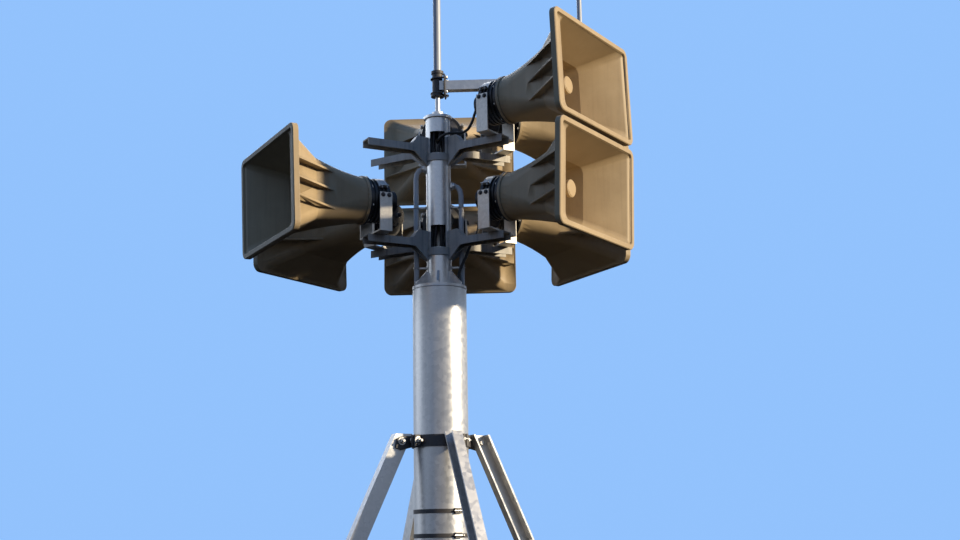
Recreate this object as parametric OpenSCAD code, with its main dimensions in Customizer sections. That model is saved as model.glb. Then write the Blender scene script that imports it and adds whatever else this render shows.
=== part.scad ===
// Civil defense siren tower: galvanised mast on four braces with two tiers of rectangular horns.
// Millimetres, +Z up, origin on the mast axis at floor level. The vacant horn position faces -Y.

/* [Mast] */
// Outside diameter of the wide lower mast
mast_d = 219.1; // [190:1:240]
// Wall of the wide mast
mast_wall = 6.3; // [4:0.1:10]
// Height of the top of the wide mast
mast_top_z = 2845; // [2600:5:3100]
// Thickness of the plate that closes the mast
mast_cap_t = 12; // [8:1:20]
// Side of the square base plate
base_side = 420; // [400:5:480]
// Thickness of the base plate
base_t = 20; // [12:1:30]
// Distance between the anchor holes of the base plate
base_bolt_pitch = 340; // [300:5:350]
// Diameter of the anchor holes
base_hole_d = 22; // [16:1:26]

/* [Braces] */
// Height of the brace clamp on the mast
clamp_z = 2216; // [2100:5:2300]
// Height of the clamp band
clamp_h = 46; // [36:1:60]
// Thickness of the clamp band
band_t = 8; // [5:1:10]
// Azimuth of the first brace
leg_turn = 30; // [20:1:40]
// Distance of the feet from the mast axis
foot_r = 1190; // [1050:5:1300]
// Depth of the brace channel
leg_h = 65; // [56:1:74]
// Flange width of the brace channel
leg_b = 42; // [34:1:50]
// Web thickness of the brace channel
leg_web_t = 5.5; // [4:0.5:7]
// Side of the square foot plate
foot_side = 170; // [150:2:220]
// Thickness of the foot plate
foot_t = 12; // [8:1:16]
// Diameter of the holes in a foot plate
foot_hole_d = 14; // [10:1:18]

/* [Head] */
// Outside diameter of the head tube
head_d = 101.6; // [96:0.1:106]
// Wall of the head tube
head_wall = 5; // [3:0.5:8]
// Height of the lower bracket arms above the mast
arm_lift = 190; // [175:1:230]
// Height of the head tube above the upper bracket arms
head_over = 125; // [105:1:180]
// Reach of a bracket arm past the centre of its yoke
arm_tip = 45; // [38:1:56]
// Width of a bracket arm
arm_w = 60; // [52:1:64]
// Sheet thickness of a bracket arm
arm_t = 5; // [3:0.5:6]
// Width of a cable window in the head tube
window_w = 61; // [50:1:66]
// Height of a cable window in the head tube
window_h = 92; // [70:1:100]

/* [Horns] */
// Width of a horn mouth over the lip
horn_w = 610; // [560:2:640]
// Height of a horn mouth over the lip
horn_h = 414; // [380:2:440]
// Distance of the horn mouth from the mast axis
mouth_r = 745; // [730:1:800]
// Distance from the mast axis at which the flat walls of a horn begin
break_r = 594; // [565:1:615]
// Half width of a horn where its flat walls begin
break_half_w = 157; // [145:1:170]
// Half height of a horn where its flat walls begin
break_half_h = 124; // [116:1:134]
// Outside radius of the horn neck
neck_half = 92; // [88:1:95]
// Width of the flat front face of the lip
lip_face = 22; // [16:1:26]
// Depth of the lip
lip_depth = 24; // [18:1:30]
// Width of the flange that stands out beside a horn's side walls, lip included
side_flange = 53; // [44:1:60]
// Width of the flange above and below a horn, lip included
top_flange = 20; // [14:1:26]
// Radius of the mouth corners
corner_r = 34; // [28:1:44]
// Shell thickness of the horn
horn_wall = 5; // [4:0.5:7]
// Upward tilt of the upper horns and downward tilt of the lower horns, degrees
horn_tilt = 2; // [0:0.1:4]
// Clear height between the mouths of the two tiers
tier_gap = 18; // [10:1:40]
// Height of a horn axis above its bracket arm
axis_rise = 142; // [134:1:180]
// Spacing of the ribs behind the lip
rib_pitch = 73; // [50:1:80]
// Thickness of a rib
rib_t = 8; // [6:0.5:10]

/* [Yokes and drivers] */
// Strip width of a yoke
yoke_w = 52; // [44:1:60]
// Strip thickness of a yoke
yoke_t = 6; // [4:0.5:8]
// Radius of a driver can
driver_r = 84; // [76:1:87]
// Radius of the flanges that join a driver and its horn
flange_r = 99; // [97:1:103]

/* [Antennas] */
// Length of the centre antenna above its clamp
antenna_len = 1428; // [800:10:1800]
// Diameter of the centre antenna
antenna_d = 32; // [26:1:34]
// Reach of the side arm that carries the second antenna
side_reach = 606; // [560:2:640]
// Length of the second antenna above its arm
side_rod_len = 1224; // [600:10:1600]
// Diameter of the second antenna
side_rod_d = 21; // [16:1:24]

/* [Hidden] */
$fn = 64;
through = 1; // overshoot of a cut past the face it opens
weld = 1; // depth to which welded pieces run into each other

// Colours
galvanised = [0.66, 0.67, 0.69];
dark_steel = [0.3, 0.3, 0.31];
arm_steel = [0.5, 0.51, 0.52];
horn_beige = [0.62, 0.55, 0.44];
driver_black = [0.1, 0.1, 0.11];
antenna_white = [0.9, 0.9, 0.88];
conduit_grey = [0.6, 0.61, 0.62];
lead_black = [0.08, 0.08, 0.08];

// Braces
mast_r = mast_d / 2;
lug_t = 10;
lug_reach = 64;
ear_offset = 16;
ear_reach = 36;
ear_w = 26;
ear_slot = 6;
leg_flange_t = 7;
leg_axis_r = mast_r + lug_reach;
foot_pin_z = 60;
foot_gap = 10;
foot_lug_h = 120;
foot_hole_inset = 25;
leg_angle = atan((foot_r - leg_axis_r) / (clamp_z - foot_pin_z));

// Head
head_r = head_d / 2;
sectors = [330, 30, 90, 150, 210];
collar_t = 5;
haunch_h = 40;
haunch_r = head_r + 50;
haunch_end_r = haunch_r + 28;
haunch_end_h = 4;
flare_r = head_r + 97;
root_drop = 84;
arm_depth = 30;
cap_over = 8;
cap_t = 10;
boss_d = 48;
boss_h = 22;

// Stations along a horn, measured from the mast axis
neck_r = 347;
neck_overlap = 4;
horn_flange_t = 10;
driver_flange_t = 8;
yoke_clear = 27;
joint_r = neck_r - neck_overlap;
pivot_r = joint_r - driver_flange_t - yoke_clear - yoke_w / 2;
arm_reach = pivot_r + arm_tip;
lip_back_r = mouth_r - lip_depth;
shelf_depth = 9;
shelf_r = mouth_r - shelf_depth;
lip_edge = 3;
rib_start_r = break_r - 84;
rib_inset = 6;
rib_sink = 3;
plug_r = 35;
plug_setback = 117;
plug_tip_r = mouth_r - plug_setback;
stem_r = 16;
hub_r = 26;
spoke_t = 8;
corner_steps = 8;
flare_steps = 5;
yoke_half = flange_r + 4;
yoke_over = 15;
can_len = 84;
end_cone_h = 26;
end_boss_h = 20;
can_end = driver_flange_t - weld + can_len;
driver_rear_r = joint_r - can_end - end_cone_h - end_boss_h + 2 * weld;
seat_hole_d = 14;

// Heights of the two tiers
lower_arm_z = mast_top_z + arm_lift;
arm_rise = horn_h + tier_gap - 2 * (mouth_r - pivot_r) * sin(horn_tilt);
upper_arm_z = lower_arm_z + arm_rise;
lower_axis_z = lower_arm_z + axis_rise;
upper_axis_z = upper_arm_z + axis_rise;
head_top_z = upper_arm_z + head_over;

// Conduits beside the head tube and leads of two drivers; the routes are [x, y, z] from their own origin
joint_gap = 0.3;
gland_d = 28;
gland_len = 14;
conduit_d = 21;
conduit_x = mast_r - conduit_d / 2 - 6;
conduit_bend = 42;
left_gland_z = lower_arm_z + 312;
right_gland_z = lower_arm_z + 236;
lead_d = 12;
lead_030_route = [[184, -8, -24], [172, -24, -70], [146, -46, -118], [112, -64, -160],
    [84, -72, -215], [62, -67, -265]];
lead_030_foot = [for (p = [[51, -62, 20], [48, -60, joint_gap]]) [p.x, p.y, mast_top_z - lower_axis_z + p.z]];
lead_330_route = [[190, -6, -20], [180, -14, -60], [162, -20, -92], [134, -26, -104],
    [104, -38, -102], [74, -50, -104], [40, -48, -116], [15, -24, -126]];

// Antennas
stub_d = 21.3;
stub_h = 69;
clamp_len = 112;
mount_d = 44;
socket_depth = 34;
tube_s = 40;
tube_t = 3;
side_rise = 46;
rod_socket_h = 46;
rod_socket_d = side_rod_d + 13;
stub_z = head_top_z + cap_t + boss_h - weld;
mount_z = stub_z + stub_h;
mount_top_z = mount_z + clamp_len;
side_arm_z = mount_z + side_rise;
side_rod_z = side_arm_z + tube_s / 2;

module ring(r_out, r_in, h) {
    difference() {
        cylinder(r = r_out, h = h);
        translate([0, 0, -through]) cylinder(r = r_in, h = h + 2 * through);
    }
}

// A plate in a vertical plane through the mast axis, drawn as [distance, height]
module radial_plate(t, pts) {
    rotate([90, 0, 0]) linear_extrude(height = t, center = true) polygon(pts);
}

// Four holes on a square
module square_holes(pitch, d, t) {
    for (x = [-1, 1], y = [-1, 1]) translate([x * pitch / 2, y * pitch / 2, -through])
        cylinder(d = d, h = t + 2 * through);
}

// Base plate with four stiffeners against the mast
module mast_base() {
    gusset_out = 70;
    gusset_h = 140;
    toe_h = 15;
    color(galvanised) difference() {
        union() {
            translate([-base_side / 2, -base_side / 2, 0]) cube([base_side, base_side, base_t]);
            for (a = [0 : 90 : 270]) rotate([0, 0, a]) radial_plate(lug_t, [[mast_r, base_t - weld],
                [mast_r + gusset_out, base_t - weld], [mast_r + gusset_out, base_t + toe_h],
                [mast_r + toe_h, base_t + gusset_h], [mast_r, base_t + gusset_h]]);
        }
        square_holes(base_bolt_pitch, base_hole_d, base_t);
        translate([0, 0, base_t]) cylinder(r = mast_r, h = gusset_h + through);
    }
}

module mast_tube() {
    color(galvanised) translate([0, 0, base_t])
        ring(mast_r, mast_r - mast_wall, mast_top_z - mast_cap_t - base_t);
}

// Two bands with a buckle each, below the brace clamp
module mast_straps() {
    strap_h = 16;
    strap_t = 2.5;
    buckle = [7, 30, 22];
    buckle_turn = -52;
    color(dark_steel) for (drop = [282, 376]) translate([0, 0, clamp_z - drop]) {
        ring(mast_r + strap_t, mast_r, strap_h);
        rotate([0, 0, buckle_turn])
            translate([mast_r + strap_t / 2, -buckle.y / 2, (strap_h - buckle.z) / 2]) cube(buckle);
    }
}

// Plate that closes the mast, with small stiffeners against the head tube
module mast_top() {
    gusset_h = 60;
    gusset_t = 8;
    toe = 10;
    edge = 3;
    color(galvanised) difference() {
        union() {
            translate([0, 0, mast_top_z - mast_cap_t]) cylinder(r = mast_r, h = mast_cap_t);
            for (a = [30 : 60 : 330]) rotate([0, 0, a]) radial_plate(gusset_t, [
                [head_r - weld, mast_top_z - weld], [mast_r - edge, mast_top_z - weld],
                [mast_r - edge, mast_top_z + toe], [head_r + toe, mast_top_z + gusset_h],
                [head_r - weld, mast_top_z + gusset_h]]);
        }
        translate([0, 0, mast_top_z]) cylinder(r = head_r, h = gusset_h + through);
    }
}

// Split band round the mast with a lug for each brace and a pair of ears beside each lug
module leg_clamp() {
    lug_inset = 3;
    quarters = [for (a = [0 : 90 : 270]) leg_turn + a];
    color(dark_steel) translate([0, 0, clamp_z]) {
        linear_extrude(height = clamp_h, center = true) difference() {
            union() {
                circle(r = mast_r + band_t);
                for (a = quarters) rotate(a + ear_offset) translate([mast_r + weld, -ear_w / 2])
                    square([ear_reach, ear_w]);
            }
            circle(r = mast_r);
            for (a = quarters) rotate(a + ear_offset) translate([mast_r / 2, -ear_slot / 2])
                square([mast_r, ear_slot]);
        }
        for (a = quarters) rotate([0, 0, a]) radial_plate(lug_t, [
            [mast_r + band_t / 2, lug_inset - clamp_h / 2], [leg_axis_r - 2, -clamp_h / 2 - 12],
            [leg_axis_r + 24, -clamp_h / 2 - 4],
            [leg_axis_r + 20, clamp_h / 2 - 14], [leg_axis_r - 4, clamp_h / 2 - lug_inset],
            [mast_r + band_t / 2, clamp_h / 2 - lug_inset]]);
    }
}

// Channel brace: the web lies against the lugs and the open side looks clockwise seen from above
module leg(az) {
    over = 30;
    len = clamp_z / cos(leg_angle) + 200;
    color(galvanised) rotate([0, 0, az]) intersection() {
        translate([leg_axis_r, -lug_t / 2, clamp_z]) rotate([0, -leg_angle, 0])
            translate([0, 0, 80 - len]) linear_extrude(height = len) difference() {
                translate([-leg_h / 2, -leg_b]) square([leg_h, leg_b]);
                translate([leg_flange_t - leg_h / 2, -leg_b - leg_web_t])
                    square([leg_h - 2 * leg_flange_t, leg_b]);
            }
        translate([0, -leg_h - leg_b, foot_t + foot_gap])
            cube([foot_r + 2 * leg_h, 2 * (leg_h + leg_b), clamp_z + over - foot_t - foot_gap]);
    }
}

// Foot plate with an upright lug that holds the end of a brace
module foot(az) {
    color(galvanised) rotate([0, 0, az]) translate([foot_r, 0, 0]) {
        difference() {
            translate([-foot_side / 2, -foot_side / 2, 0]) cube([foot_side, foot_side, foot_t]);
            square_holes(foot_side - 2 * foot_hole_inset, foot_hole_d, foot_t);
        }
        radial_plate(lug_t, [[42, foot_t - weld], [42, foot_t + 30],
            [-6, foot_t + foot_lug_h], [-48, foot_t + foot_lug_h], [-24, foot_t - weld]]);
    }
}

// Head tube with a cable window beside each tier, towards the vacant position, and a gland on each side
module head_tube() {
    window_drop = 30;
    color(galvanised) difference() {
        union() {
            translate([0, 0, mast_top_z]) ring(head_r, head_r - head_wall, head_top_z - mast_top_z);
            for (g = [[180, left_gland_z], [0, right_gland_z]]) rotate([0, 0, g[0]])
                translate([head_r - head_wall / 2, 0, g[1]]) rotate([0, 90, 0])
                    cylinder(d = gland_d, h = gland_len + head_wall / 2);
        }
        translate([0, 0, mast_top_z]) cylinder(r = head_r - head_wall, h = head_top_z - mast_top_z);
        for (z = [lower_arm_z, upper_arm_z])
            translate([-window_w / 2, -head_r - through, z - window_drop])
                cube([window_w, head_r, window_h]);
    }
}

module head_cap() {
    color(galvanised) {
        translate([0, 0, head_top_z]) cylinder(r = head_r + cap_over, h = cap_t);
        translate([0, 0, head_top_z + cap_t - weld]) cylinder(d = boss_d, h = boss_h);
    }
}

// One bracket arm along +X: folded channel, open below and at its end, with a tall narrow root on the tube
module bracket_arm() {
    root_half = 6;
    nose_r = head_r + 24;
    nose_half = 3;
    root_r = head_r + 66;
    beyond = arm_reach + 5;
    outline = [[head_r - weld, haunch_h], [haunch_r, haunch_h], [haunch_end_r, haunch_end_h], [flare_r, 0],
        [arm_reach, 0], [arm_reach, -arm_depth], [root_r, -arm_depth], [head_r - weld, -root_drop]];
    channel = [[nose_r, haunch_h - arm_t], [haunch_r - 2, haunch_h - arm_t],
        [haunch_end_r - 2, haunch_end_h - arm_t], [flare_r, -arm_t], [beyond, -arm_t], [beyond, -root_drop],
        [nose_r, -root_drop]];
    difference() {
        intersection() {
            radial_plate(2 * arm_w, outline);
            arm_plan(head_r - 2 * weld, root_half, arm_w / 2, beyond, root_drop + through);
        }
        intersection() {
            radial_plate(2 * arm_w, channel);
            arm_plan(nose_r, nose_half, arm_w / 2 - arm_t, beyond + through, root_drop + 2 * through);
        }
        translate([pivot_r, 0, -arm_depth]) cylinder(d = seat_hole_d, h = 2 * arm_depth);
    }
}

// Outline of an arm seen from above as a block: half width a at distance r, b from the flare on
module arm_plan(r, a, b, end_r, drop) {
    translate([0, 0, -drop]) linear_extrude(height = 2 * haunch_h + drop)
        polygon([[r, -a], [flare_r, -b], [end_r, -b], [end_r, b], [flare_r, b], [r, a]]);
}

// Collar on the head tube with five bracket arms; the sixth position is vacant
module spider(z) {
    collar_drop = 62;
    collar_h = 30;
    color(arm_steel) difference() {
        translate([0, 0, z]) {
            translate([0, 0, -collar_drop]) cylinder(r = head_r + collar_t, h = collar_h);
            for (a = sectors) rotate([0, 0, a]) bracket_arm();
        }
        translate([0, 0, z - collar_drop - through])
            cylinder(r = head_r, h = collar_drop + haunch_h + 2 * through);
    }
}

// Half sizes and corner radius of the outer skin at distance r
function flare(r) = max(0, (r - neck_r) / (break_r - neck_r));
function wall_run(r, from, to) = from + (to - from) * (r - break_r) / (lip_back_r - break_r);
function half_w(r) = r > break_r ? wall_run(r, break_half_w, horn_w / 2 - side_flange)
    : neck_half + (break_half_w - neck_half) * pow(flare(r), 1.5);
function half_h(r) = r > break_r ? wall_run(r, break_half_h, horn_h / 2 - top_flange)
    : neck_half + (break_half_h - neck_half) * pow(flare(r), 1.6);
function corner(r) = neck_half - 2 + (corner_r - neck_half + 2) * min(1, pow(flare(r), 0.9));

// One closed ring of points, a rectangle with rounded corners, at distance x along the horn
function section(x, w, h, c) = [for (q = [0 : 3], i = [0 : corner_steps - 1])
    let (a = q * 90 + i * 90 / (corner_steps - 1), sx = (q == 0 || q == 3) ? 1 : -1, sy = q < 2 ? 1 : -1)
    [x, sx * (w - c) + c * cos(a), sy * (h - c) + c * sin(a)]];
function outer_ring(r) = section(r, half_w(r), half_h(r), corner(r));
function inner_ring(r, d) = section(r, half_w(r) - d, half_h(r) - d, max(8, corner(r) - d));
function lip_ring(r, d) = section(r, horn_w / 2 - d, horn_h / 2 - d, max(6, corner_r - d));
function shelf_ring(r) = section(r, horn_w / 2 - side_flange - horn_wall + 3,
    min(horn_h / 2 - lip_face - 3, horn_h / 2 - top_flange - horn_wall + 3), corner_r - horn_wall);
function neck_station(i) = neck_r + (break_r - neck_r) * i / flare_steps;

// The skin runs forward outside, round the lip and back inside, so it closes on itself
flare_rings = concat(
    [for (i = [0 : flare_steps]) outer_ring(neck_station(i))],
    [outer_ring(lip_back_r), lip_ring(lip_back_r, 0), lip_ring(mouth_r - lip_edge, 0),
        lip_ring(mouth_r, lip_edge), lip_ring(mouth_r, lip_face - lip_edge),
        lip_ring(mouth_r - lip_edge, lip_face), lip_ring(shelf_r, lip_face + 1), shelf_ring(shelf_r),
        inner_ring(break_r, horn_wall)],
    [for (i = [flare_steps - 1 : -1 : 0]) inner_ring(neck_station(i), horn_wall)]);

module skin(rings) {
    n = len(rings[0]);
    m = len(rings);
    pts = [for (r = rings, p = r) p];
    faces = [for (k = [0 : m - 1], i = [0 : n - 1]) let (a = k * n + i, b = k * n + (i + 1) % n,
        c = ((k + 1) % m) * n + (i + 1) % n, d = ((k + 1) % m) * n + i) each [[a, c, b], [a, d, c]]];
    polyhedron(points = pts, faces = faces);
}

rib_outline = concat([[lip_back_r + 2, horn_w / 2 - rib_inset], [rib_start_r, half_w(rib_start_r) - 1]],
    [for (i = [0 : 3]) let (r = rib_start_r + (lip_back_r - rib_start_r) * i / 3)
        [r, half_w(r) - rib_sink]],
    [[lip_back_r + 2, half_w(lip_back_r) - rib_sink]]);

// One horn along +X: flared shell, thick lip, three ribs on each short side, neck flange and throat plug
module horn_body() {
    tip = plug_tip_r - joint_r;
    skin(flare_rings);
    for (s = [0, 1], k = [-1, 0, 1]) mirror([0, s, 0])
        translate([0, 0, k * rib_pitch - rib_t / 2]) linear_extrude(height = rib_t) polygon(rib_outline);
    translate([joint_r, 0, 0]) rotate([0, 90, 0]) ring(flange_r, neck_half - horn_wall, horn_flange_t);
    for (a = [45 : 90 : 315]) rotate([a, 0, 0])
        translate([joint_r, -spoke_t / 2, hub_r - weld]) cube([horn_flange_t, spoke_t, neck_half - hub_r]);
    translate([joint_r, 0, 0]) rotate([0, 90, 0]) rotate_extrude() polygon([[0, 0], [hub_r, 0],
        [hub_r, horn_flange_t], [stem_r, 60], [stem_r, tip - 24], [plug_r, tip - 16],
        [plug_r, tip - 4], [plug_r - 6, tip], [0, tip]]);
}

// Turned to its azimuth and tilted about the pivots of its yoke
module placed(az, axis_z, tilt) {
    rotate([0, 0, az]) translate([pivot_r, 0, axis_z]) rotate([0, -tilt, 0])
        translate([-pivot_r, 0, 0]) children();
}

module horn(az, axis_z, tilt) {
    color(horn_beige) placed(az, axis_z, tilt) horn_body();
}

// Compression driver behind the neck: flange, finned can, stepped end cap and side pivots
module driver(az, axis_z, tilt) {
    fin_h = 5;
    fin_t = 7;
    fin_pitch = 16;
    fins = 4;
    end_boss_r = 46;
    pivot_d = 27;
    color(driver_black) placed(az, axis_z, tilt) translate([joint_r, 0, 0]) rotate([0, -90, 0]) {
        cylinder(r = flange_r, h = driver_flange_t);
        translate([0, 0, driver_flange_t - weld]) cylinder(r = driver_r, h = can_len);
        translate([0, 0, joint_r - pivot_r]) rotate([90, 0, 0])
            cylinder(d = pivot_d, h = 2 * (yoke_half - yoke_t), center = true);
        for (i = [1 : fins]) translate([0, 0, driver_flange_t + i * fin_pitch])
            cylinder(r = driver_r + fin_h, h = fin_t);
        translate([0, 0, can_end - weld])
            cylinder(r1 = driver_r - 8, r2 = driver_r - 34, h = end_cone_h);
        translate([0, 0, can_end + end_cone_h - 2 * weld]) cylinder(r = end_boss_r, h = end_boss_h);
    }
}

// Flat steel yoke: foot on the bracket arm and two uprights that hold the driver at its sides
module yoke(az, arm_z) {
    color(galvanised) rotate([0, 0, az]) translate([pivot_r, 0, arm_z]) {
        difference() {
            translate([-yoke_w / 2, -yoke_half, 0]) cube([yoke_w, 2 * yoke_half, yoke_t]);
            translate([0, 0, -through]) cylinder(d = seat_hole_d, h = yoke_t + 2 * through);
        }
        for (s = [-1, 1]) translate([0, s * (yoke_half - yoke_t / 2), 0]) rotate([90, 0, 0])
            linear_extrude(height = yoke_t, center = true)
                translate([-yoke_w / 2, 0]) square([yoke_w, axis_rise + yoke_over]);
    }
}

module antenna_stub() {
    color(galvanised) translate([0, 0, stub_z]) cylinder(d = stub_d, h = stub_h + socket_depth);
}

// Pipe coupling between the stub and the antenna
module antenna_clamp() {
    foot_d = mount_d + 12;
    head_band_d = mount_d + 8;
    band_h = 12;
    color(dark_steel) difference() {
        union() {
            translate([0, 0, mount_z]) cylinder(d = foot_d, h = band_h);
            translate([0, 0, mount_z]) cylinder(d = mount_d, h = clamp_len);
            translate([0, 0, mount_top_z - band_h]) cylinder(d = head_band_d, h = band_h);
        }
        translate([0, 0, mount_z - through])
            cylinder(d = stub_d + 2 * joint_gap, h = socket_depth + through);
        translate([0, 0, mount_top_z - socket_depth])
            cylinder(d = antenna_d + 2 * joint_gap, h = socket_depth + through);
    }
}

module antenna_rod() {
    tip_h = 12;
    base_z = mount_top_z - socket_depth;
    color(antenna_white) {
        translate([0, 0, base_z]) cylinder(d = antenna_d, h = antenna_len + socket_depth - tip_h);
        translate([0, 0, mount_top_z + antenna_len - tip_h])
            cylinder(d1 = antenna_d, d2 = antenna_d - tip_h, h = tip_h);
    }
}

// Square tube from the coupling, with an upright socket at its end
module side_arm() {
    end_over = 28;
    wall_r = mount_d / 2 + 18;
    color(galvanised) difference() {
        union() {
            translate([0, -tube_s / 2, side_arm_z - tube_s / 2])
                cube([side_reach + end_over, tube_s, tube_s]);
            translate([side_reach, 0, side_rod_z - weld])
                cylinder(d = rod_socket_d, h = rod_socket_h + weld);
        }
        translate([wall_r, tube_t - tube_s / 2, side_arm_z + tube_t - tube_s / 2])
            cube([side_reach + end_over, tube_s - 2 * tube_t, tube_s - 2 * tube_t]);
        translate([0, 0, side_arm_z - tube_s / 2 - through])
            cylinder(d = mount_d, h = tube_s + 2 * through);
        translate([side_reach, 0, side_rod_z])
            cylinder(d = side_rod_d + 2 * joint_gap, h = rod_socket_h + through);
    }
}

module side_rod() {
    color(antenna_white) translate([side_reach, 0, side_rod_z]) cylinder(d = side_rod_d, h = side_rod_len);
}

function unit(v) = v / norm(v);
function blend(a, b, c, d, t) = (2 * b + (c - a) * t + (2 * a - 5 * b + 4 * c - d) * t * t
    + (3 * b - a - 3 * c + d) * t * t * t) / 2;
function smooth_route(p, n) = let (m = len(p) - 1) concat([for (i = [0 : m - 1], k = [0 : n - 1])
    blend(p[max(i - 1, 0)], p[i], p[i + 1], p[min(i + 2, m)], k / n)], [p[m]]);
function hoop(c, way, side, r, n) = let (u = unit(cross(way, side)), v = cross(way, u))
    [for (k = [0 : n - 1]) c + r * (cos(k * 360 / n) * u + sin(k * 360 / n) * v)];

// Round tube along a route; side is a direction that the route never takes
module swept(route, d, side, sides) {
    m = len(route);
    pts = [for (i = [0 : m - 1]) let (way = unit(route[min(i + 1, m - 1)] - route[max(i - 1, 0)]))
        each hoop(route[i], way, side, d / 2, sides)];
    walls = [for (i = [0 : m - 2], k = [0 : sides - 1])
        let (a = i * sides + k, b = i * sides + (k + 1) % sides)
        each [[a, b, b + sides], [a, b + sides, a + sides]]];
    ends = [[for (k = [sides - 1 : -1 : 0]) k], [for (k = [0 : sides - 1]) (m - 1) * sides + k]];
    polyhedron(points = pts, faces = concat(walls, ends));
}

// Conduit from the mast's top plate up beside the head tube and into a gland
module conduit(way, gland_z) {
    gland_x = head_r + gland_len;
    inward = conduit_x - gland_x;
    run = 60;
    bend_z = gland_z - conduit_bend;
    route = concat(
        [for (z = [mast_top_z, mast_top_z + run, bend_z - run, bend_z]) [way * conduit_x, 0, z]],
        [for (a = [30, 60]) [way * (conduit_x - inward * (1 - cos(a))), 0, bend_z + conduit_bend * sin(a)]],
        [[way * gland_x, 0, gland_z]]);
    color(conduit_grey) swept(route, conduit_d, [0, 1, 0], 12);
}

// Lead of a driver; it leaves the end boss along the driver's axis
module lead(az, axis_z, tilt, route, finish) {
    back = pivot_r - driver_rear_r + joint_gap;
    way = [-cos(tilt), 0, -sin(tilt)];
    start = [pivot_r, 0, 0] + back * way;
    straight = 12;
    color(lead_black) rotate([0, 0, az]) translate([0, 0, axis_z])
        swept(smooth_route(concat([start, start + straight * way], route, finish), 3),
            lead_d, [0.4, 0.9, 0.1], 8);
}

mast_base();
mast_tube();
mast_straps();
mast_top();
leg_clamp();
leg(leg_turn);  // leg_030
leg(leg_turn + 90);  // leg_120
leg(leg_turn + 180);  // leg_210
leg(leg_turn + 270);  // leg_300
foot(leg_turn);  // foot_030
foot(leg_turn + 90);  // foot_120
foot(leg_turn + 180);  // foot_210
foot(leg_turn + 270);  // foot_300
head_tube();
head_cap();
spider(lower_arm_z);  // lower_spider
spider(upper_arm_z);  // upper_spider
horn(330, lower_axis_z, -horn_tilt);  // horn_l330
horn(30, lower_axis_z, -horn_tilt);  // horn_l030
horn(90, lower_axis_z, -horn_tilt);  // horn_l090
horn(150, lower_axis_z, -horn_tilt);  // horn_l150
horn(210, lower_axis_z, -horn_tilt);  // horn_l210
horn(330, upper_axis_z, horn_tilt);  // horn_u330
horn(30, upper_axis_z, horn_tilt);  // horn_u030
horn(90, upper_axis_z, horn_tilt);  // horn_u090
driver(330, lower_axis_z, -horn_tilt);  // driver_l330
driver(30, lower_axis_z, -horn_tilt);  // driver_l030
driver(90, lower_axis_z, -horn_tilt);  // driver_l090
driver(150, lower_axis_z, -horn_tilt);  // driver_l150
driver(210, lower_axis_z, -horn_tilt);  // driver_l210
driver(330, upper_axis_z, horn_tilt);  // driver_u330
driver(30, upper_axis_z, horn_tilt);  // driver_u030
driver(90, upper_axis_z, horn_tilt);  // driver_u090
yoke(330, lower_arm_z);  // yoke_l330
yoke(30, lower_arm_z);  // yoke_l030
yoke(90, lower_arm_z);  // yoke_l090
yoke(150, lower_arm_z);  // yoke_l150
yoke(210, lower_arm_z);  // yoke_l210
yoke(330, upper_arm_z);  // yoke_u330
yoke(30, upper_arm_z);  // yoke_u030
yoke(90, upper_arm_z);  // yoke_u090
antenna_stub();
antenna_clamp();
antenna_rod();
side_arm();
side_rod();
conduit(-1, left_gland_z);  // conduit_left
conduit(1, right_gland_z);  // conduit_right
lead(30, lower_axis_z, -horn_tilt, lead_030_route, lead_030_foot);  // lead_l030
lead(330, upper_axis_z, horn_tilt, lead_330_route, []);  // lead_u330
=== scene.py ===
import math
import random

import bmesh
import bpy
from mathutils import Matrix, Vector


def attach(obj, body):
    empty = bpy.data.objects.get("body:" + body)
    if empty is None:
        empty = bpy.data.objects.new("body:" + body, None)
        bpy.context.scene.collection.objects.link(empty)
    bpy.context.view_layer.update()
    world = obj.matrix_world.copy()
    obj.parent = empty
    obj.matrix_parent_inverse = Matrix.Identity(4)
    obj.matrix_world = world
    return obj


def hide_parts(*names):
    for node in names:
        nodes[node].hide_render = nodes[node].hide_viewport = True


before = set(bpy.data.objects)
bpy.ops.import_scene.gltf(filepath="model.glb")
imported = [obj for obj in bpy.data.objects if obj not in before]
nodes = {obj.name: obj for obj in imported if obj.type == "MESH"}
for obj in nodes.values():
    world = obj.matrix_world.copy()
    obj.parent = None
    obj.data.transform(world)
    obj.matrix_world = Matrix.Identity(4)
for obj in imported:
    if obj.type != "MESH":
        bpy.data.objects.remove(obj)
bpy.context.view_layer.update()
random.seed(7)
print("frame loaded:", len(nodes), "nodes")

# Sizes repeated from the part, in metres and degrees
tower = {
    "mastRadius": 0.10955, "mastTop": 2.845, "baseTop": 0.020, "anchorHalf": 0.170,
    "clampZ": 2.216, "legTurn": 30, "legAxisRadius": 0.17355, "lugHalf": 0.005, "webThickness": 0.0055,
    "earTurn": 16, "earHalf": 0.013, "earBoltRadius": 0.132,
    "footRadius": 1.190, "footTop": 0.012, "footHoleHalf": 0.060, "footPinZ": 0.060,
    "headRadius": 0.0508, "headTop": 3.5597, "lowerArmZ": 3.035, "upperArmZ": 3.43468, "collarDrop": 0.062,
    "axisRise": 0.142, "pivotRadius": 0.282, "jointRadius": 0.343, "breakRadius": 0.594, "tilt": 2.0,
    "yokeHalf": 0.103, "yokeThickness": 0.006,
    "driverFlange": 0.008, "driverRear": 0.208, "finRadius": 0.089,
    "conduitOut": 0.09305, "glandRise": {180: 0.312, 0: 0.236}, "glandEnd": 0.0648,
    "sideArmZ": 3.7057, "couplingRadius": 0.022, "strapDrops": (0.282, 0.376), "strapHeight": 0.016,
}
mergeGap = 0.00001  # points closer than this are one
# Azimuth of each horn and its tier, 0 for the lower and 1 for the upper
horns = {"l330": (330, 0), "l030": (30, 0), "l090": (90, 0), "l150": (150, 0), "l210": (210, 0),
         "u330": (330, 1), "u030": (30, 1), "u090": (90, 1)}


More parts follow.
